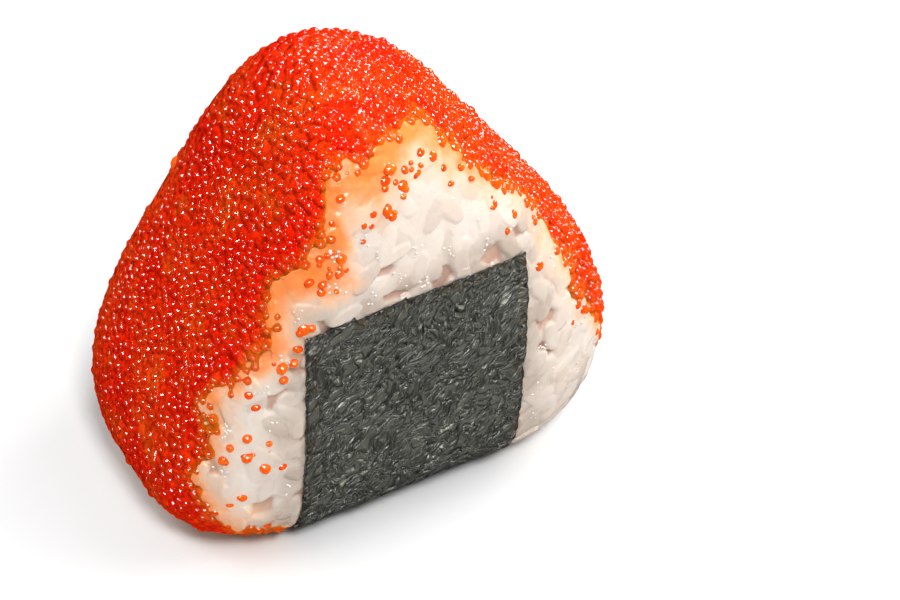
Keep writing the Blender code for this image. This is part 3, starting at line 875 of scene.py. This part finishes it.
# %% Mix the colours of roe
def roe_finish(name, stray):
    finish = Finish(name)
    colour = finish.mix(finish.noise(12 * mm, 3.0).between(0.35, 0.65), ROE_DEEP, ROE_RED)
    patch = finish.noise(5.5 * mm, 2.0).between(0.54, 0.7)
    low = finish.note("depth").between(0.0, 0.3)
    colour = finish.mix(patch * (0.25 + 0.4 * low), colour, ROE_ORANGE)
    colour = finish.mix(finish.note("tint") * 0.25, colour, ROE_RED)
    # Orange where the coat is thin, and on the right slope partly as painted light.
    thin_and_lit = finish.note("thin_and_lit").between(0.1, 1.0)
    colour = finish.mix(thin_and_lit * (0.5 + 0.5 * low), colour, ROE_ORANGE)
    if stray:
        colour = finish.mix(finish.note("tint") * 0.55 + 0.3, ROE_RED, ROE_ORANGE)
        # Painted shade: each loose bead darkens towards its rim, where it meets the rice.
        colour = finish.mix(finish.note("depth").between(-0.25, 0.15) * 0.8, colour, ROE_RIM_SHADE)
    finish.set(Base_Color=colour, Roughness=0.3, Specular_IOR_Level=0.0)
    finish.set(Coat_Weight=1.0, Coat_Roughness=0.05, Coat_IOR=1.5)
    finish.set(Subsurface_Weight=0.8, Subsurface_Radius=(1.0, 0.45, 0.2))
    finish.set(Subsurface_Scale=(0.4 if stray else 0.8) * mm)
    if not stray:
        finish.set(Coat_Weight=finish.note("upright").between(0.15, 0.5))
        turned = {"vector_type": "NORMAL", "convert_from": "OBJECT", "convert_to": "WORLD"}
        even = finish.node("ShaderNodeVectorTransform", turned, {"Vector": finish.note("even", "Vector")})
        finish.set(Normal=even)
    return finish.material


roe_coat.data.materials.append(roe_finish("roe", False))
roe_strays.data.materials.append(roe_finish("single roe", True))
print("roe finishes", [piece.data.materials[0].name for piece in (roe_coat, roe_strays)])

# %% [markdown]
# ## The nori strip
# Nori is a thin dried sheet of chopped seaweed: crinkled, satin, dark green, with a torn look at its cut
# edges. It is one flat grid, bent round the ball like the real one: each corner of the grid gets a place
# across and along the strip, the crinkles are moved into the mesh, and a rim gives the edge its thickness. It
# could hang as cloth instead, but wet rice holds the real strip down all the way, so a formula is truer.

# %% The line that the strip follows
NORI_THICKNESS = 0.4 * mm
NIBS, NIB_WIDTH = ((-0.3, 1.0), (-0.08, 0.8)), 0.009
RAGGED_WITHIN = 3 * mm


def strip_line(share, rows):
    """Evenly spaced points down the front, under the base and up the back, at this share of the width."""
    turn = np.linspace(-60, 240, 1600)
    ragged = 0.16 * mm * noise.noise(Vector((share * 40, 1, 2)))
    ragged += 0.12 * mm * noise.noise(Vector((share * 90, 5, 2)))
    nib = sum(height * mm * math.exp(-(((share - place) / NIB_WIDTH) ** 2)) for place, height in NIBS)
    across = strip_middle(turn) + share * STRIP_WIDTH - CENTRE[0]
    slant = np.radians(turn)
    low, high = np.zeros_like(slant), np.full_like(slant, 60 * mm)
    for _ in range(26):
        reach = (low + high) / 2
        offsets = np.stack([across, -reach * np.cos(slant), -reach * np.sin(slant)], axis=1)
        outside = fullness(offsets) > 1
        low, high = np.where(outside, low, reach), np.where(outside, reach, high)
    under = offsets[:, 2] < -CENTRE[2]
    offsets[under, 1:] *= (-CENTRE[2] / offsets[under, 2])[:, None]
    line = CENTRE + offsets
    line = line[line[:, 2] <= STRIP_TOP + STRIP_ARCH * (1 - 4 * share**2)]
    along = np.append(0, np.cumsum(np.linalg.norm(np.diff(line, axis=0), axis=1)))
    wanted = np.linspace(0, along[-1], rows)
    points = np.stack([np.interp(wanted, along, line[:, k]) for k in range(3)], axis=1)
    points[:, 2] += (ragged + nib) * np.clip(1 - wanted / RAGGED_WITHIN, 0, 1) ** 2
    points[:, 2] += ragged * np.clip(1 - (along[-1] - wanted) / RAGGED_WITHIN, 0, 1) ** 2
    return points


# %% Bend the grid round the ball
STRIP_COLUMNS, STRIP_ROWS = 170, 540
start_fresh()
bpy.ops.mesh.primitive_grid_add(x_subdivisions=STRIP_COLUMNS - 1, y_subdivisions=STRIP_ROWS - 1, size=2)
nori = name_new("nori_strip")
flat = corners_of(nori)
column = np.rint((flat[:, 0] + 1) / 2 * (STRIP_COLUMNS - 1)).astype(int)
row = np.rint((1 - flat[:, 1]) / 2 * (STRIP_ROWS - 1)).astype(int)
lines = np.stack([strip_line(share, STRIP_ROWS) for share in np.linspace(-0.495, 0.495, STRIP_COLUMNS)])
sheet = lines[column, row]
strip_length = float(np.linalg.norm(np.diff(lines[STRIP_COLUMNS // 2], axis=0), axis=1).sum())
sheet_x = column / (STRIP_COLUMNS - 1) * STRIP_WIDTH / mm
sheet_y = row / (STRIP_ROWS - 1) * strip_length / mm
edge = np.minimum(sheet_x, STRIP_WIDTH / mm - sheet_x)
print("the strip is", round(strip_length / mm), "mm long")

# %% Let its long edges wander
wander = np.array([
    noise.noise(Vector((x > 19, y / 1.3, 4))) * 0.16 + noise.noise(Vector((x > 19, y / 5, 8))) * 0.3
    for x, y in zip(sheet_x, sheet_y)
])  # fmt: skip
sheet[:, 0] += wander * mm * np.clip(1 - edge / 3, 0, 1)
print("the edges wander by up to", abs(wander).max().round(2), "mm")

# %% Which way it faces, and which way its fibres run
sheet_normals = ball_normals(sheet)
on_floor = sheet[:, 2] < 0.02 * mm
sheet_normals[on_floor] = (0, 0, -1)


def along_fibres(x, y):
    """Places across and along the fibres, which lean and wander."""
    over, along = (x + y) * 0.7071, (y - x) * 0.7071
    over += 2.2 * noise.noise(Vector((x / 7, y / 7, 20))) + 0.7 * noise.noise(Vector((x / 1.6, y / 1.6, 23)))
    return over, along + 1.5 * noise.noise(Vector((x / 6, y / 6, 41)))


def folds(u, v, wide, long, seed):
    """Sharp folds that run along the fibres: a noise folded at zero."""
    return 1 - 2.4 * abs(noise.noise(Vector((u / wide, v / long, seed))))


grain_of_sheet = np.array([along_fibres(x, y) for x, y in zip(sheet_x, sheet_y)])
print("along the fibres up to", grain_of_sheet[:, 1].max().round(1), "mm")

# %% Crinkle it
SWELL, COARSE_FOLDS, FINE_FOLDS, LOWERED, LEVEL = 0.16, 0.22, 0.2, 0.24, 0.08
BACK_LOWERED, RISES_WITHIN = 0.3 * mm, 5 * mm
swell = np.array([noise.noise(Vector((x / 8, y / 8, 1))) for x, y in zip(sheet_x, sheet_y)])
coarse = np.array([folds(u, v, 2.2, 4.4, 29) for u, v in grain_of_sheet])
fine = np.array([folds(u, v, 1.0, 2.2, 59) for u, v in grain_of_sheet])
height = SWELL * swell + COARSE_FOLDS * coarse + FINE_FOLDS * fine - LOWERED
rising = np.clip(sheet[:, 2] / RISES_WITHIN, 0, 1)
lifted = np.where(on_floor, 0, (height + LEVEL) * mm * rising)
lifted -= BACK_LOWERED * rising * (sheet[:, 1] > CENTRE[1])
move_corners(nori, sheet + sheet_normals * lifted[:, None])
note_on_corners(nori, "rim", np.minimum(edge, np.minimum(sheet_y, strip_length / mm - sheet_y)))
note_on_corners(nori, "over_fibres", grain_of_sheet[:, 0])
note_on_corners(nori, "with_fibres", grain_of_sheet[:, 1])
print("folds", height.min().round(2), "to", height.max().round(2), "mm")

# %% Turn it outwards and give its edge a thickness
facing = np.array([polygon.normal for polygon in nori.data.polygons])
middles = np.array([polygon.center for polygon in nori.data.polygons])
if (facing * (middles - CENTRE)).sum() < 0:
    nori.data.flip_normals()
change(nori, "SOLIDIFY", thickness=NORI_THICKNESS, offset=-1, use_rim_only=True)
nori.data.shade_smooth()
print("nori", len(nori.data.polygons), "faces")

# %% [markdown]
# ## The finish of nori
# Toasted nori is a satin dark green with a brown tint where its edge has dried. Shade is painted nearly black
# into its creases and along its cut edge, and pale lines on its ridges are painted highlights. The pattern
# has to run with the sheet and not with the room, so it reads the place across and along the fibres that the
# mesh keeps. A noise folded at its middle gives sharp creases.

# %% Colours of nori
# The near-black is painted shade in the creases and along the cut edge, and also random dark flecks.
NORI_SHADE_AND_FLECKS, NORI_GREEN, NORI_RIDGE_HIGHLIGHT = screen(6, 7, 5), screen(82, 83, 74), screen(190, 190, 172)
NORI_BROWN = screen(96, 76, 48)
print("nori from", rounded(NORI_SHADE_AND_FLECKS), "to", rounded(NORI_RIDGE_HIGHLIGHT))


# %% Mix the colours of nori
def nori_finish():
    finish = Finish("nori")
    along = {"X": finish.note("over_fibres"), "Y": finish.note("with_fibres") * 0.42}
    place = finish.node("ShaderNodeCombineXYZ", {}, along)
    fold = abs(finish.noise(3.7, 3.0, 0.5, place, 1.6) - 0.5)
    small = abs(finish.noise(1.7, 3.0, 0.5, place, 1.0) - 0.5)
    ridge = fold.between(0, 0.07) * 0.6 + small.between(0, 0.08) * 0.4
    flake = finish.noise(3.2 * mm, 3.0)
    # Painted shade: the creases are darkened nearly to black.
    colour = finish.mix(fold.between(0.0, 0.03) * 0.6 + small.between(0, 0.05) * 0.4, NORI_SHADE_AND_FLECKS, NORI_GREEN)
    # Painted highlight: broken pale lines beside the creases, where ridges would catch the light.
    lit_ridge_line = fold.between(0.015, 0.03) * (1 - fold.between(0.03, 0.05))
    highlight_breaks = finish.noise(1.6 * mm, 2.0).between(0.45, 0.6)
    colour = finish.mix(lit_ridge_line * highlight_breaks * 0.6, colour, NORI_RIDGE_HIGHLIGHT)
    colour = finish.mix(flake.between(0.6, 0.72) * 0.2, colour, NORI_SHADE_AND_FLECKS)
    brown = (1 - finish.note("rim").between(0.2, 2.6)) * finish.noise(1.8 * mm, 3.0).between(0.42, 0.62)
    colour = finish.mix(brown * 0.5, colour, NORI_BROWN)
    # Painted shade: a thin dark line along the cut edge.
    colour = finish.mix((1 - finish.note("rim").between(0.0, 0.6)) * 0.7, colour, NORI_SHADE_AND_FLECKS)
    finish.set(Base_Color=colour, Roughness=0.38, Normal=finish.bump(ridge, 1.1 * mm), IOR=1.45)
    return finish.material


nori.data.materials.append(nori_finish())
print("nori finish on", len(nori.data.vertices), "corners")

# %% [markdown]
# ## Stage and light
# The picture has a white ground, a soft shadow and a small crisp light on every bead. A lamp that gives soft
# shadows would also be mirrored as a large dull spot. So there are two sets of round lamps: four light the
# ball and aren't mirrored, and three are only mirrored, one behind the camera and one at each side. The faint
# white world fills the shadows. World and ground aren't mirrored either, as that would veil the roe in grey.

# %% Floor and world
GROUND, WORLD = 0.69, 0.17
start_fresh()
bpy.ops.mesh.primitive_plane_add(size=3, location=(0, 0, 0))
floor = name_new("floor")
floor_finish = Finish("floor")
floor_finish.set(Base_Color=(GROUND, GROUND, GROUND), Roughness=0.8, Specular_IOR_Level=0.0)
floor.data.materials.append(floor_finish.material)
floor.visible_glossy = False
floor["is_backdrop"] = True

world = bpy.data.worlds.new("white room")
world.use_nodes = True
world.node_tree.nodes["Background"].inputs["Color"].default_value = (1, 1, 1, 1)
world.node_tree.nodes["Background"].inputs["Strength"].default_value = WORLD
bpy.context.scene.world = world
world.cycles_visibility.glossy = False
print("world", WORLD, "ground", GROUND)


# %% A lamp
def add_lamp(name, towards, far, degrees_wide, share):
    """A round lamp that far off, that lights the ball with this share of what makes white paper white."""
    light = bpy.data.lights.new(name, "AREA")
    light.shape, light.size = "DISK", 2 * far * math.tan(math.radians(degrees_wide / 2))
    light.energy = share * math.pi**2 * far**2
    lamp = bpy.data.objects.new(name, light)
    lamp.location = target + towards.normalized() * far
    lamp.rotation_euler = towards.to_track_quat("Z", "Y").to_euler()
    bpy.context.scene.collection.objects.link(lamp)
    return lamp


def direction(azimuth, elevation):
    """Towards a lamp: azimuth from the front towards the left, and elevation, in degrees."""
    a, e = math.radians(azimuth), math.radians(elevation)
    return Vector((-math.sin(a) * math.cos(e), -math.cos(a) * math.cos(e), math.sin(e)))


# %% The lamps: degrees from the front towards the left, degrees up, metres off, degrees wide, strength
LIGHTING = {
    "overhead": (170, 76, 1.2, 40, 0.36),
    "from behind on the left": (128, 50, 1.2, 45, 0.22),
    "from the right": (-78, 44, 1.2, 50, 1.05),
    "by the camera": (10, 58, 1.5, 15, 0.75),
}
MIRRORED = {
    "mirrored behind the camera": (27, 46, 1.5, 38, 3.6),
    "mirrored on the left": (78, 48, 1.5, 16, 0.5),
    "mirrored on the right": (-112, 28, 1.5, 34, 1.2),
}
for name, (azimuth, elevation, far, wide, share) in LIGHTING.items():
    add_lamp(name, direction(azimuth, elevation), far, wide, share).visible_glossy = False
for name, (azimuth, elevation, far, wide, share) in MIRRORED.items():
    add_lamp(name, direction(azimuth, elevation), far, wide, share).visible_diffuse = False
print("lamps", len(LIGHTING), "that light and", len(MIRRORED), "that are mirrored")

# %% Show colours as they are
bpy.context.scene.view_settings.view_transform = "Standard"
print("colours are shown by", bpy.context.scene.view_settings.view_transform)

# %% [markdown]
# ## Hand over
# Each piece rides on the one body, and the solids that the pieces replace are hidden. The
# single grain, drop and bead that were copied are only models, so they go. Light that bounces off the roe
# would tint the ground and the rice red, so the roe and the core don't take part in it.

# %% Ride and replace
for model in (grain, drop, bead):
    bpy.data.objects.remove(model, do_unlink=True)
for piece in (roe_coat, roe_strays, rice_core):
    piece.visible_diffuse = False
slots = {rice_core: "rice", rice_grains: "rice", drops: "rice"}
slots |= {nori: "nori", roe_coat: "roe", roe_strays: "roe"}
for piece, slot in slots.items():
    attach(piece, "root")
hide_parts("rice")
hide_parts("roe_coat")
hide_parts("nori")

shown_low, shown_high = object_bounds()
sizes = {"cad": [list(solid_low), list(solid_high)], "visual": [list(shown_low), list(shown_high)]}
print(sizes)
